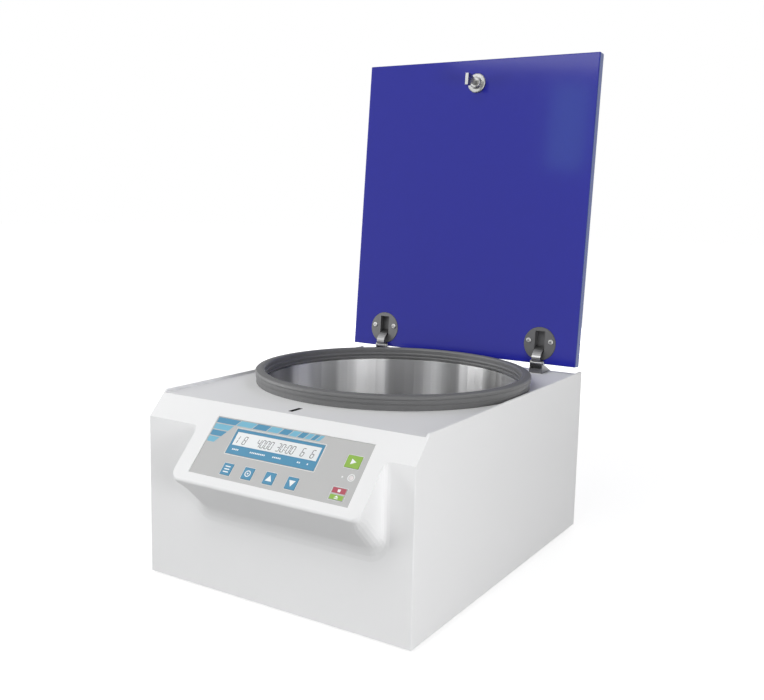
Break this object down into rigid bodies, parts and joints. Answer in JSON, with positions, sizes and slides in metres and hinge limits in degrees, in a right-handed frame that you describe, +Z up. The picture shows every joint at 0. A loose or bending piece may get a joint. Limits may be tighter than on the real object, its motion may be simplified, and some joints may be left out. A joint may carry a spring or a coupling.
{
  "type": "blood bank centrifuge",
  "caption": "Bench-top blood bank centrifuge: boxy white cabinet, keypad console with display, round steel bowl holding a swing-out rotor, and an upright hinged blue lid with a latch hook.",
  "frame": {"origin": "middle of the whole object's box, at floor level, with the lid open as pictured", "axes": "+X to the right of someone facing the keypad, +Y to the back, +Z up"},
  "size_m": [0.4, 0.5862, 0.72],
  "materials": {
    "cabinet_paint": "smooth white enamel, satin",
    "pan_steel": "zinc-plated sheet",
    "black_rubber": "matte",
    "gasket_rubber": "moulded, satin",
    "overlay_film": "fine-textured film",
    "blue_film": "printed film",
    "green_film": "printed film",
    "red_film": "printed film, green lower half",
    "display_glass": "clear over white",
    "lens_plastic": "clear",
    "board_resin": "coated board",
    "bowl_steel": "spun and polished",
    "motor_enamel": "dark enamel",
    "cast_aluminium": "machined and anodised",
    "machined_steel": "turned",
    "bucket_steel": "drawn and polished",
    "sleeve_plastic": "moulded",
    "lid_blue": "high gloss",
    "hinge_dark": "dark satin",
    "hinge_steel": "pressed sheet",
    "screw_steel": "bright",
    "latch_chrome": "polished",
    "black_plastic": "moulded"
  },
  "bodies": {
    "cabinet": {"base_pan": "pan_steel", "bowl": "bowl_steel", "bowl_gasket": "gasket_rubber", "cabinet_shell": "cabinet_paint", "control_board": "board_resin", "damper_1": "black_rubber", "damper_2": "black_rubber", "damper_3": "black_rubber", "display_frame": "blue_film", "display_module": "display_glass", "fan_frame": "black_plastic", "foot_front_left": "black_rubber", "foot_front_right": "black_rubber", "foot_rear_left": "black_rubber", "foot_rear_right": "black_rubber", "guard_ring": "pan_steel", "hinge_bracket_left": "hinge_steel", "hinge_bracket_right": "hinge_steel", "hinge_pin_left": "machined_steel", "hinge_pin_right": "machined_steel", "keypad_overlay": "overlay_film", "lock_body": "black_plastic", "motor_body": "motor_enamel", "motor_driver": "cast_aluminium", "motor_plate": "pan_steel", "power_inlet": "black_plastic", "rear_panel": "cabinet_paint", "shaft_boot": "black_rubber", "status_lens": "lens_plastic"},
    "lid": {"lid_panel": "lid_blue", "hinge_cup_left": "hinge_dark", "hinge_cup_right": "hinge_dark", "hinge_arm_left": "hinge_steel", "hinge_arm_right": "hinge_steel", "hinge_screw_left_a": "screw_steel", "hinge_screw_left_b": "screw_steel", "hinge_screw_right_a": "screw_steel", "hinge_screw_right_b": "screw_steel", "latch_base": "latch_chrome", "latch_hook": "latch_chrome"},
    "rotor": {"motor_shaft": "machined_steel", "rotor_head": "cast_aluminium", "rotor_nut": "machined_steel"},
    "bucket_1": {"bucket_1": "bucket_steel", "tube_sleeve_1": "sleeve_plastic"},
    "bucket_2": {"bucket_2": "bucket_steel", "tube_sleeve_2": "sleeve_plastic"},
    "bucket_3": {"bucket_3": "bucket_steel", "tube_sleeve_3": "sleeve_plastic"},
    "bucket_4": {"bucket_4": "bucket_steel", "tube_sleeve_4": "sleeve_plastic"},
    "key_down": {"key_down": "blue_film"},
    "key_mode": {"key_mode": "blue_film"},
    "key_set": {"key_set": "blue_film"},
    "key_start": {"key_start": "green_film"},
    "key_stop_open": {"key_stop_open": "red_film"},
    "key_up": {"key_up": "blue_film"},
    "lock_bolt": {"lock_bolt": "machined_steel"},
    "power_rocker": {"power_rocker": "black_plastic"},
    "fan_rotor": {"fan_rotor": "black_plastic"}
  },
  "joints": [
    {"name": "lid_hinge", "type": "hinge", "parent": "cabinet", "child": "lid", "pos_m": [0, 0.23466, 0.2565], "axis": [1, 0, 0], "range_deg": [0, 94.7]},
    {"name": "rotor_spin", "type": "hinge", "parent": "cabinet", "child": "rotor", "pos_m": [0, 0.03866, 0.175], "axis": [0, 0, 1], "continuous": true},
    {"name": "bucket_1_swing", "type": "hinge", "parent": "rotor", "child": "bucket_1", "pos_m": [0.092, 0.03866, 0.175], "axis": [0, -1, 0], "range_deg": [-10, 90]},
    {"name": "bucket_2_swing", "type": "hinge", "parent": "rotor", "child": "bucket_2", "pos_m": [0, 0.13066, 0.175], "axis": [1, 0, 0], "range_deg": [-10, 90]},
    {"name": "bucket_3_swing", "type": "hinge", "parent": "rotor", "child": "bucket_3", "pos_m": [-0.092, 0.03866, 0.175], "axis": [0, 1, 0], "range_deg": [-10, 90]},
    {"name": "bucket_4_swing", "type": "hinge", "parent": "rotor", "child": "bucket_4", "pos_m": [0, -0.05334, 0.175], "axis": [-1, 0, 0], "range_deg": [-10, 90]},
    {"name": "key_down_press", "type": "slide", "parent": "cabinet", "child": "key_down", "axis": [0, 0.7244, -0.6894], "range_m": [0, 0.0005], "stiffness_N_per_m": 300, "springref_m": -0.001},
    {"name": "key_mode_press", "type": "slide", "parent": "cabinet", "child": "key_mode", "axis": [0, 0.7244, -0.6894], "range_m": [0, 0.0005], "stiffness_N_per_m": 300, "springref_m": -0.001},
    {"name": "key_set_press", "type": "slide", "parent": "cabinet", "child": "key_set", "axis": [0, 0.7244, -0.6894], "range_m": [0, 0.0005], "stiffness_N_per_m": 300, "springref_m": -0.001},
    {"name": "key_start_press", "type": "slide", "parent": "cabinet", "child": "key_start", "axis": [0, 0.7244, -0.6894], "range_m": [0, 0.0005], "stiffness_N_per_m": 300, "springref_m": -0.001},
    {"name": "key_stop_open_press", "type": "slide", "parent": "cabinet", "child": "key_stop_open", "axis": [0, 0.7244, -0.6894], "range_m": [0, 0.0005], "stiffness_N_per_m": 300, "springref_m": -0.001},
    {"name": "key_up_press", "type": "slide", "parent": "cabinet", "child": "key_up", "axis": [0, 0.7244, -0.6894], "range_m": [0, 0.0005], "stiffness_N_per_m": 300, "springref_m": -0.001},
    {"name": "lock_bolt_slide", "type": "slide", "parent": "cabinet", "child": "lock_bolt", "axis": [-1, 0, 0], "range_m": [0, 0.01], "stiffness_N_per_m": 60, "springref_m": -0.004},
    {"name": "power_rocker_tilt", "type": "hinge", "parent": "cabinet", "child": "power_rocker", "pos_m": [0.15, 0.25796, 0.089], "axis": [1, 0, 0], "range_deg": [0, 16]},
    {"name": "fan_spin", "type": "hinge", "parent": "cabinet", "child": "fan_rotor", "pos_m": [-0.135, 0.24776, 0.11], "axis": [0, 1, 0], "continuous": true}
  ]
}
